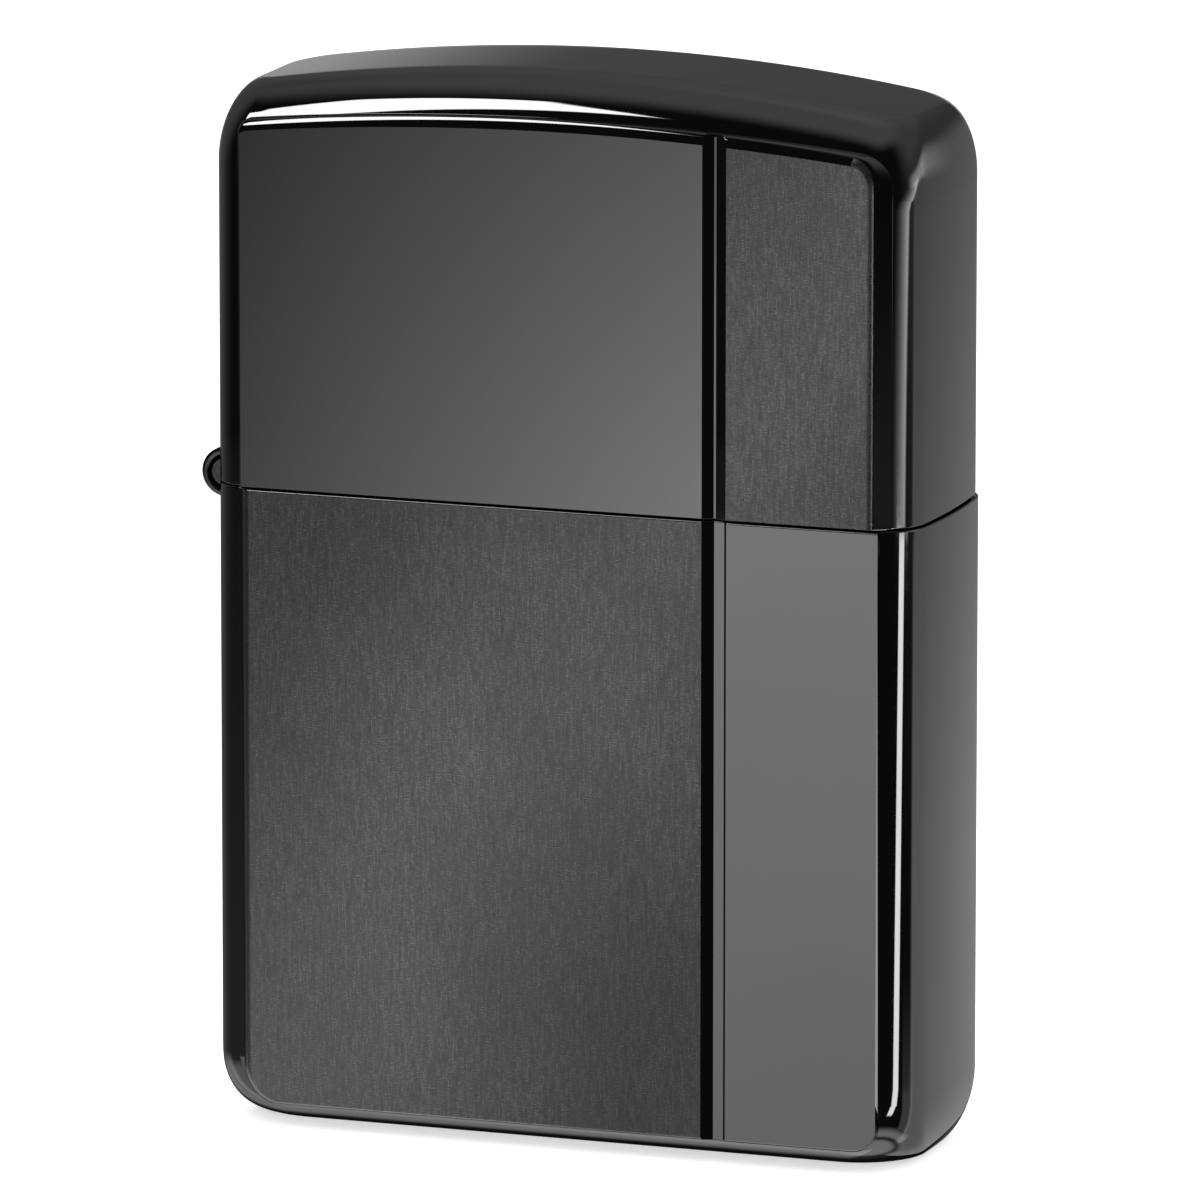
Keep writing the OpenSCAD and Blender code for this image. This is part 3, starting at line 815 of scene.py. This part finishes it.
def notch_cutter():
    """Room for the hinge barrels in the left wall."""
    skin = Skin()
    half = HINGE_LEN / 2 + NOTCH_END_GAP
    rings = [
        skin.ring(
            (HINGE_X + NOTCH_R * math.sin(a), y, HINGE_Z + NOTCH_R * math.cos(a))
            for a in steps(0, 2 * math.pi, 64)
        )
        for y in (-half, half)
    ]
    skin.join(rings[0], rings[1])
    skin.face(rings[0][::-1])
    skin.face(rings[1])
    obj = bpy.data.objects.new("notch", skin.mesh("notch"))
    bpy.context.scene.collection.objects.link(obj)
    return obj


SHELL_SHARP = 24.0  # degrees from which an edge of a shell is shaded sharp


def shell_piece(name, skin, panels, body, node):
    """A shell with the hinge notch cut out and its panels added."""
    materials = [MAT["polish"], MAT["brush"], MAT["inside"]]
    obj = skin.piece(name, body, "dark_chrome", materials)
    cutter = notch_cutter()
    cut = obj.modifiers.new("notch", "BOOLEAN")
    cut.operation = "DIFFERENCE"
    cut.solver = "EXACT"
    cut.object = cutter
    apply_modifiers(obj)
    bpy.data.objects.remove(cutter)
    plates = Skin()
    for spec in panels:
        panel(plates, spec)
    groove_floor(plates, *panels)
    bm = bmesh.new()
    bm.from_mesh(obj.data)
    bm.from_mesh(plates.mesh("plates"))
    bm.to_mesh(obj.data)
    bm.free()
    finish_shading(obj, SHELL_SHARP)
    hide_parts(node)


# ======== Hinge


def knuckle_span(k):
    """Where barrel k begins and ends along the pin."""
    pitch = HINGE_LEN / KNUCKLES
    start = PIN_LOW.y + k * pitch + KNUCKLE_GAP / 2
    return start, start + pitch - KNUCKLE_GAP


def strip(skin, path, thickness, y0, y1):
    """A bent sheet: path in x and z, swept from y0 to y1."""
    rings = []
    for i, (x, z) in enumerate(path):
        before = path[max(i - 1, 0)]
        after = path[min(i + 1, len(path) - 1)]
        run_x, run_z = after[0] - before[0], after[1] - before[1]
        size = math.hypot(run_x, run_z)
        side_x, side_z = -run_z / size * thickness / 2, run_x / size * thickness / 2
        rings.append(skin.ring([
            (x + side_x, y0, z + side_z), (x - side_x, y0, z - side_z),
            (x - side_x, y1, z - side_z), (x + side_x, y1, z + side_z),
        ]))
    run(skin, rings)
    skin.face(rings[0][::-1])
    skin.face(rings[-1])


def hinge_leaf(name, first, direction, body, node):
    """Rolled sheet: a plate inside the wall whose tongues curl round the pin. direction is -1
    for the lower leaf, whose plate hangs down, and 1 for the lid's."""
    skin = Skin()
    middle_r = BARREL_R - ROLL_T / 2
    plate_x = HINGE_X + middle_r
    free_z = HINGE_Z + direction * (BARREL_R + 0.25)
    far_z = HINGE_Z + direction * LEAF_H
    strip(skin, [(plate_x, far_z), (plate_x, free_z)], ROLL_T, PIN_LOW.y, PIN_HIGH.y)
    for k in range(first, KNUCKLES, 2):
        y0, y1 = knuckle_span(k)
        path = [(plate_x, free_z), (plate_x, HINGE_Z + direction * 0.5)]
        for a in steps(0, math.radians(ROLL_DEGREES), ROLL_STEPS):
            path.append((
                HINGE_X + middle_r * math.cos(a), HINGE_Z - direction * middle_r * math.sin(a)
            ))
        strip(skin, path, ROLL_T, y0, y1)
    obj = skin.piece(name, body, "hinge_steel", [MAT["hinge"]], 30.0)
    ease = obj.modifiers.new("edge", "BEVEL")
    ease.width = 0.05 * MM
    ease.segments = 2
    ease.limit_method = "ANGLE"
    ease.angle_limit = math.radians(50)
    apply_modifiers(obj)
    finish_shading(obj, 40.0)
    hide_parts(node)


# ======== Insert details


def knurled_wheel():
    """Flint wheel with two crossing sets of fine teeth between plain shoulders."""
    skin = Skin()
    centre = (WHEEL_LOW + WHEEL_HIGH) / 2
    radius = (WHEEL_HIGH.z - WHEEL_LOW.z) / 2
    half = (WHEEL_HIGH.y - WHEEL_LOW.y) / 2
    teeth, around, depth, hole, lean = 40, 240, 0.26, 1.03, 0.9
    shoulder, chamfer_r = 0.32, 0.1
    core = radius - depth

    def toothed_ring(y, size):
        return skin.ring(
            (centre.x + size(a) * math.sin(a), centre.y + y, centre.z + size(a) * math.cos(a))
            for a in steps(0, 2 * math.pi, around)
        )

    def circle(y, size):
        return toothed_ring(y, lambda a: size)

    def tooth(a, y):
        turns = teeth * a / (2 * math.pi)
        one = abs((turns + lean * y) % 1.0 - 0.5) * 2
        two = abs((turns - lean * y) % 1.0 - 0.5) * 2
        return radius - depth * (1 - min(one, two))

    rings = [
        circle(-half, hole), circle(-half, core - chamfer_r),
        circle(-half + chamfer_r, core), circle(-half + shoulder, core),
    ]
    for y in steps(-half + shoulder + 0.02, half - shoulder, 26):
        rings.append(toothed_ring(y, lambda a: tooth(a, y)))
    rings += [
        circle(half - shoulder, core), circle(half - chamfer_r, core),
        circle(half, core - chamfer_r), circle(half, hole),
    ]
    run(skin, rings)
    skin.join(rings[-1], rings[0])
    obj = skin.piece("flint_wheel_knurled", "wheel", "wheel_steel", [MAT["wheel"]], 25.0)
    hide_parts("flint_wheel")


def tube(skin, path, radius, around, slot=0, flat=1.0, across=None):
    """A closed tube along a path. flat squeezes it along the across direction at each point."""
    rings = []
    for i, p in enumerate(path):
        ahead = (path[min(i + 1, len(path) - 1)] - path[max(i - 1, 0)]).normalized()
        out = across(p) if across else Vector((0, 1, 0))
        out = (out - ahead * out.dot(ahead)).normalized()
        side = ahead.cross(out)
        rings.append(skin.ring(
            p + out * (radius * flat * math.cos(a)) + side * (radius * math.sin(a))
            for a in steps(0, 2 * math.pi, around)
        ))
    run(skin, rings, slot)
    skin.face(rings[0][::-1], slot)
    skin.face(rings[-1], slot)


class Cord:
    """Where the wick stands, and how it is plaited."""

    def __init__(self):
        self.low, self.high = box_mm("wick")
        x, y, _ = centre_mm("wick")
        self.axis = Vector((x, y, 0))
        self.radius = (self.high.x - self.low.x) / 2
        self.yarns, self.pitch, self.yarn_r, self.rise = 10, 6.5, 0.36, 0.16

    def at(self, radius, angle, z):
        return self.axis + Vector((radius * math.cos(angle), radius * math.sin(angle), z))

    def outward(self, p):
        return Vector((p.x - self.axis.x, p.y - self.axis.y, 0)).normalized()


def plait(skin, cord, rng):
    """Ten yarns, half of them wound each way, over and under each other."""
    for k in range(cord.yarns):
        hand = 1 if k % 2 else -1
        start = 2 * math.pi * (k // 2) / (cord.yarns / 2)
        end_z = cord.high.z - rng.uniform(0.0, 0.22)
        path = []
        for z in steps(cord.low.z, end_z, 200):
            turn = hand * 2 * math.pi * z / cord.pitch
            weave = math.cos(hand * (turn + start) * cord.yarns / 2 + k * math.pi)
            r = cord.radius - 0.26 - cord.yarn_r * 0.3 + cord.rise * 0.5 * weave
            path.append(cord.at(r, start + turn, z))
        tube(skin, path, cord.yarn_r, 6, flat=0.55, across=cord.outward)


def copper_wires(skin, cord):
    """Three fine wires in the top of the wick, bent slightly apart."""
    for k in range(3):
        a = 2 * math.pi * (k / 3 + 0.1)
        foot_z = cord.high.z - 1.6
        path = [cord.at(0.5 * (1 + 0.2 * math.sin(t)), a, foot_z + 0.2 * t) for t in range(9)]
        tube(skin, [p for p in path if p.z <= cord.high.z], 0.07, 6, slot=1)


def frayed_end(skin, cord, rng):
    """Loose fibres standing in the cut end of the wick."""
    for _ in range(70):
        a = rng.uniform(0, 2 * math.pi)
        r = cord.radius * 0.82 * math.sqrt(rng.random())
        foot = cord.at(r, a, cord.high.z - 0.7)
        lean = Vector((rng.uniform(-0.12, 0.12), rng.uniform(-0.12, 0.12), 0))
        tall = rng.uniform(0.35, 0.68)
        path = [foot + lean * t * t + Vector((0, 0, tall * t)) for t in (0, 0.33, 0.66, 1.0)]
        tube(skin, path, 0.045, 5)


def braided_wick():
    """Cotton cord: yarns plaited over a core, with fine copper wires and a frayed end."""
    skin = Skin()
    cord = Cord()
    rng = random.Random(11)
    core = [cord.at(0, 0, z) for z in steps(cord.low.z, cord.high.z - 0.35, 30)]
    tube(skin, core, cord.radius - 0.42, 20)
    plait(skin, cord, rng)
    copper_wires(skin, cord)
    frayed_end(skin, cord, rng)
    obj = skin.piece("wick_braid", "case", "wick_cotton", [MAT["wick"], MAT["copper"]], 60.0)
    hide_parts("wick")


PAD_SHARES = (0.0, 0.15, 0.35, 0.6, 0.85, 1.0)  # from the rim of a pad's face to its hole
PAD_RIM, PAD_LIP = 0.55, 0.35  # how far the face stays from the rim and from the hole
PACKING = {"hole_r": 1.62, "dip": 0.25, "ripple": 0.5, "fill": 0.55, "corner": 2.3}
FELT = {"hole_r": 2.45, "dip": 0.06, "ripple": 0.16, "fill": 0.8, "corner": 1.0}


def pad_bands(low, high, hole_x, form):
    """Outlines round a pad: up its outside, over its face to the hole, down, and back out."""
    middle = (low + high) / 2
    half = (high - low) / 2
    hole_r, dip, corner = form["hole_r"], form["dip"], form["corner"]

    def hole_ring(grow, z):
        points = []
        for x, y in outline(half.x, half.y, corner):
            a = math.atan2(y, x + middle.x - hole_x)
            points.append((
                hole_x + (hole_r + grow) * math.cos(a), middle.y + (hole_r + grow) * math.sin(a), z
            ))
        return points

    def edge_ring(pull, z):
        return [
            (middle.x + x, middle.y + y, z)
            for x, y in outline(half.x - pull, half.y - pull, corner)
        ]

    def face_ring(t, z):
        pairs = zip(edge_ring(PAD_RIM, z), hole_ring(PAD_LIP, z))
        return [tuple(Vector(o).lerp(Vector(i), t)) for o, i in pairs]

    def crowned(t):
        """How far the face lies below its highest level."""
        return dip * (1 - math.sin(math.pi * min(t + 0.15, 0.85)))

    bands = [
        edge_ring(0.0, middle.z), edge_ring(0.02, middle.z + half.z * 0.45),
        edge_ring(0.12, high.z - dip - 0.35), edge_ring(0.32, high.z - dip - 0.08),
    ]
    bands += [face_ring(t, high.z - crowned(t)) for t in PAD_SHARES]
    bands += [hole_ring(0.06, high.z - dip - 0.2), hole_ring(0.0, middle.z + half.z * 0.3)]
    bands += [hole_ring(0.0, middle.z - half.z * 0.3), hole_ring(0.06, low.z + dip + 0.2)]
    bands += [face_ring(t, low.z + crowned(t)) for t in reversed(PAD_SHARES)]
    bands += [
        edge_ring(0.32, low.z + dip + 0.08), edge_ring(0.12, low.z + dip + 0.35),
        edge_ring(0.02, middle.z - half.z * 0.45),
    ]
    return bands


def holed_pad(name, node, hole_x, slot, material, form):
    """A soft block round a hole: crowned faces, rounded rims and matted fibres."""
    skin = Skin()
    low, high = box_mm(node)
    middle = (low + high) / 2

    def rippled(p):
        """The point pushed in a little by noise, except at the hole, which stays round."""
        if math.hypot(p.x - hole_x, p.y - middle.y) < form["hole_r"] + 0.2:
            return p
        push = form["ripple"] * (noise.noise(p * 0.8) - 0.55)
        return p + (p - middle).normalized() * min(push, 0.0)

    rings = [
        skin.ring(rippled(Vector(p)) for p in band) for band in pad_bands(low, high, hole_x, form)
    ]
    run(skin, rings)
    skin.join(rings[-1], rings[0])
    obj = skin.piece(name, "case", slot, [material], 80.0)
    smooth = obj.modifiers.new("smooth", "SUBSURF")
    smooth.levels = 1
    smooth.render_levels = 1
    apply_modifiers(obj)
    finish_shading(obj, 80.0)
    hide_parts(node)


def soft_pieces():
    wick_x = centre_mm("wick")[0]
    screw_x = centre_mm("flint_screw")[0]
    for k in range(1, 6):
        holed_pad(f"packing_{k}_cotton", f"packing_{k}", wick_x, "cotton", MAT["cotton"], PACKING)
    holed_pad("felt_pad_soft", "felt_pad", screw_x, "felt", MAT["felt"], FELT)


NODE_MATERIALS = {
    "hinge_pin": "hinge", "insert_case": "insert", "insert_top_plate": "insert",
    "chimney": "insert", "cam": "cam", "cam_rivet": "rivet", "wheel_rivet": "rivet",
    "cam_spring": "spring", "flint_spring": "spring", "flint_tube": "brass",
    "spring_tip": "brass", "flint_screw": "brass", "flint": "flint",
}


def dress_cad_nodes():
    """Materials for the CAD pieces that are shown as they are."""
    for node, key in NODE_MATERIALS.items():
        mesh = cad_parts[node].data
        mesh.materials.clear()
        mesh.materials.append(MAT[key])


# ======== Studio


class Sky(Nodes):
    """Studio light by direction: azimuth 0 is the front, 90 the right; elevation 90 is up."""

    def __init__(self, tree):
        super().__init__(tree)
        coords = self.new("ShaderNodeTexCoord")
        split = self.new("ShaderNodeSeparateXYZ")
        self.link(coords.outputs["Generated"], split.inputs[0])
        x, y, z = split.outputs
        turn = self.math("ARCTAN2", x, self.math("MULTIPLY", y, -1.0))
        self.az = self.math("MULTIPLY", turn, 180 / math.pi)
        self.el = self.math("MULTIPLY", self.math("ARCSINE", z), 180 / math.pi)
        self.off = self.math("ABSOLUTE", self.az)
        self.parts = []

    def inside(self, value, low, high, blur):
        """1 between low and high, falling to 0 over blur beyond each end."""
        up = self.ramp(value, low - blur, low)
        down = self.ramp(value, high + blur, high)
        return self.math("MULTIPLY", up, down)

    def add(self, *factors):
        total = factors[0]
        for factor in factors[1:]:
            total = self.math("MULTIPLY", total, factor)
        self.parts.append(total)

    def total(self, floor_level):
        value = floor_level
        for part in self.parts:
            value = self.math("ADD", part, value)
        return value


# Elevation that the camera sees mirrored at the split line, and half the blur across it.
SPLIT_EL = -11.33
SPLIT_BLUR = 0.03
DARK_ROOM = 0.008  # level where no card is seen
FLOOR_EDGE = (-66, -60)  # elevations between which the pale floor gives way below the lighter


def overhead(s):
    """Soft grey overhead and behind, dark in front."""
    below_zenith = s.ramp(s.el, 70, 48)
    s.add(s.ramp(s.el, 48, 70), 0.125)
    s.add(s.ramp(s.az, -140, -162), s.ramp(s.el, 9.4, 2), s.ramp(s.el, -9, -2), 0.35)
    s.add(s.ramp(s.off, 62, 108), below_zenith, s.ramp(s.el, -13, -9),
          s.ramp(s.el, 10, 32, 0.62, 1.0), 0.088)
    s.add(s.ramp(s.az, -62, -112), below_zenith, s.ramp(s.el, -10, 6), s.ramp(s.el, 32, 10), 0.03)
    high = s.math("MULTIPLY", s.ramp(s.el, 14, 48), s.ramp(s.el, 62, 90, 1.0, 0.25))
    s.add(s.ramp(s.az, -125, -160), high, 0.045)
    s.add(s.ramp(s.az, 135, 172), high, 0.03)


def front_card(s):
    """Grey card in front of the polished faces, brighter to the right and lower down."""
    across = s.ramp(s.az, -21.3, -19.15, 0.20, 1.06, smooth=False)
    above = s.ramp(s.el, -9.6, -11.2, 0.26, 0.51, smooth=False)
    below = s.ramp(s.el, -11.3, -14.2, 0.04, 0.20, smooth=False)
    level = s.math("MULTIPLY", across, s.math("SUBTRACT", above, below))
    s.add(s.inside(s.az, -26, -13, 3), s.inside(s.el, -15.5, -8.9, 0.6), level)


def soft_box(s):
    """Bright box high in front on the left. Its right end is pointed, its left end tapers."""
    upper = s.math("ADD", s.el, s.math("MULTIPLY", s.az, 0.93))
    lower = s.math("SUBTRACT", s.el, s.az)
    left_end = s.math("SUBTRACT", s.az, s.ramp(s.el, 39, 43, -58, -44))
    s.add(s.ramp(left_end, 0, 1.5), s.inside(s.el, 33, 49.2, 0.7),
          s.ramp(upper, 21.0, 19.7), s.ramp(lower, 61.8, 63.2), 2.9)


def strip_lights(s):
    """Strip light on the right: narrow for the lower case, softer and further round for the lid."""
    lower_case = s.ramp(s.el, SPLIT_EL + SPLIT_BLUR, SPLIT_EL - SPLIT_BLUR)
    lid = s.ramp(s.el, SPLIT_EL - SPLIT_BLUR, SPLIT_EL + SPLIT_BLUR)
    drift = s.math("ADD", s.ramp(s.el, -11.3, -15, 66, 51, smooth=False),
                   s.ramp(s.el, -15, -30, 0, -9, smooth=False))
    aside = s.math("ABSOLUTE", s.math("SUBTRACT", s.az, drift))
    s.add(s.ramp(aside, 7.0, 5.0), s.ramp(s.el, -30, -25), lower_case, 2.0)
    drift = s.math("ADD", s.ramp(s.el, -11.3, -8.5, 76, 94),
                   s.ramp(s.el, -8.5, 4, 0, 22, smooth=False))
    aside = s.math("SUBTRACT", s.az, drift)
    rise = s.math("POWER", s.ramp(aside, -34, 1, smooth=False), 2.4)
    s.add(rise, s.ramp(aside, 8, 1), lid, s.ramp(s.el, 6, 1), 0.78)


def strip_arc(s):
    """The strip light's upper end, bending back over the lid's shoulder."""
    fall = s.math("MULTIPLY", s.math("MAXIMUM", s.math("SUBTRACT", s.az, 130), 0.0), 0.2)
    arc = s.math("SUBTRACT", s.math("ADD", s.el, fall), 5.0)
    s.add(s.ramp(arc, -6.0, -1.5), s.ramp(arc, 9, 1.5), s.ramp(s.az, 84, 106), s.ramp(s.az, 162, 138), 0.45)


def right_wall(s):
    """Grey wall on the right and behind."""
    edge = s.ramp(s.el, SPLIT_EL + SPLIT_BLUR, SPLIT_EL - SPLIT_BLUR, 98, 92)
    s.add(s.ramp(s.math("SUBTRACT", s.az, edge), 0, 8), s.inside(s.el, -60, 0, 9),
          s.ramp(s.el, -9.8, -12.6, 0.09, 0.265, smooth=False), s.ramp(s.az, 148, 172, 0.88, 1.35))
    s.add(s.inside(s.az, 76, 100, 4), s.inside(s.el, -46, -14, 1.0), 0.10)


def back_light(s):
    """Light from behind, just caught by the left corner."""
    s.add(s.ramp(s.az, -145, -172), s.inside(s.el, -16, -8, 8), 0.20)
    s.add(s.ramp(s.az, -84, -140), s.ramp(s.el, 6, -6), s.ramp(s.el, -20, -13), 0.075)
    s.add(s.inside(s.az, -130, -26, 8), s.inside(s.el, -19, -11.05, 0.12),
          s.ramp(s.el, -11, -13.4, 0.010, 0.032))


def floor_light(s):
    """Pale floor, dark where it runs under the back of the case."""
    near = s.ramp(s.el, *FLOOR_EDGE)
    s.add(s.ramp(s.el, -13, -24), s.ramp(s.az, -78, -104), s.ramp(s.az, -150, -128), 0.32)
    s.add(s.ramp(s.el, -17, -32), s.inside(s.az, -98, -58, 8), near, 0.22)
    s.add(s.ramp(s.el, -15.8, -18), s.inside(s.az, -50, 12, 6), near, 0.225)
    s.add(s.ramp(s.el, -44, -56), s.inside(s.az, 12, 112, 8), near, 0.33)
    s.add(s.ramp(s.el, -50, -62), 0.03)
    s.add(s.ramp(s.el, -66, -74), 0.35)


def studio_light(s):
    """Cards and boxes round the lighter, as seen in its polished faces."""
    for light in (
        overhead, front_card, soft_box, strip_lights, strip_arc, right_wall, back_light, floor_light
    ):
        light(s)
    return s.total(DARK_ROOM)


def make_world():
    """The camera sees white, polished faces see the cards, and soft light falls on the rest."""
    world = bpy.data.worlds.new("studio")
    world.use_nodes = True
    world.cycles.sampling_method = "NONE"
    bpy.context.scene.world = world
    tree = world.node_tree
    tree.nodes.clear()
    s = Sky(tree)
    path = s.new("ShaderNodeLightPath")

    def background(strength):
        node = s.new("ShaderNodeBackground")
        node.inputs["Color"].default_value = WHITE
        s.put(strength, node.inputs["Strength"])
        return node.outputs[0]

    def choose(switch, off, on):
        node = s.new("ShaderNodeMixShader")
        s.link(switch, node.inputs[0])
        s.link(off, node.inputs[1])
        s.link(on, node.inputs[2])
        return node.outputs[0]

    soft = background(s.ramp(s.el, -20, 70, 0.85, 1.25))
    studio = background(studio_light(s))
    white = background(1.0)
    out = s.new("ShaderNodeOutputWorld")
    lit = choose(path.outputs["Is Glossy Ray"], soft, studio)
    s.link(choose(path.outputs["Is Camera Ray"], lit, white), out.inputs["Surface"])


def make_floor():
    """Plain pale floor. It lights the lighter but isn't mirrored in it: the studio is."""
    material, t, shader = new_material("floor_pale")
    set_inputs(shader, {
        "Roughness": 0.9, "Specular IOR Level": 0.0,
        "Emission Color": WHITE, "Emission Strength": FLOOR_GLOW,
    })
    cloud = t.noise((0.002, 0.002, 0.002))
    t.link(t.mix(cloud, (0.93, 0.93, 0.93), (0.95, 0.95, 0.95)), shader.inputs["Base Color"])
    corners = [(x * FLOOR_HALF, y * FLOOR_HALF, 0) for x, y in ((-1, -1), (1, -1), (1, 1), (-1, 1))]
    mesh = bpy.data.meshes.new("floor")
    mesh.from_pydata(corners, [], [(0, 1, 2, 3)])
    mesh.materials.append(material)
    floor = bpy.data.objects.new("floor", mesh)
    bpy.context.scene.collection.objects.link(floor)
    floor.visible_glossy = False


def make_camera():
    yaw, pitch, roll = (math.radians(a) for a in (CAM_YAW, CAM_PITCH, CAM_ROLL))
    level = math.cos(pitch)
    ahead = Vector((-math.sin(yaw) * level, math.cos(yaw) * level, -math.sin(pitch)))
    right = Vector((math.cos(yaw), math.sin(yaw), 0))
    up = right.cross(ahead)
    turned_right = right * math.cos(roll) + up * math.sin(roll)
    turned_up = up * math.cos(roll) - right * math.sin(roll)
    nudge_right, nudge_up = CAM_NUDGE
    place = CAM_TARGET - ahead * CAM_DISTANCE + turned_right * nudge_right + turned_up * nudge_up
    data = bpy.data.cameras.new("camera")
    data.sensor_width = 36.0
    data.lens = CAM_LENS
    data.clip_start = 0.01
    data.clip_end = 20.0
    camera = bpy.data.objects.new("camera", data)
    bpy.context.scene.collection.objects.link(camera)
    axes = Matrix((turned_right, turned_up, -ahead)).transposed().to_4x4()
    camera.matrix_world = Matrix.Translation(place * MM) @ axes
    bpy.context.scene.camera = camera


# ======== Build

make_camera()
make_world()
make_floor()
bpy.context.scene.view_settings.view_transform = "Standard"

shell_piece("case_base_shell", base_shell(), PANELS["base"], "case", "case_base")
shell_piece("case_lid_shell", lid_shell(), PANELS["lid"], "lid", "case_lid")
hinge_leaf("base_hinge_leaf_rolled", 0, -1, "case", "base_hinge_leaf")
hinge_leaf("lid_hinge_leaf_rolled", 1, 1, "lid", "lid_hinge_leaf")
knurled_wheel()
braided_wick()
soft_pieces()
dress_cad_nodes()
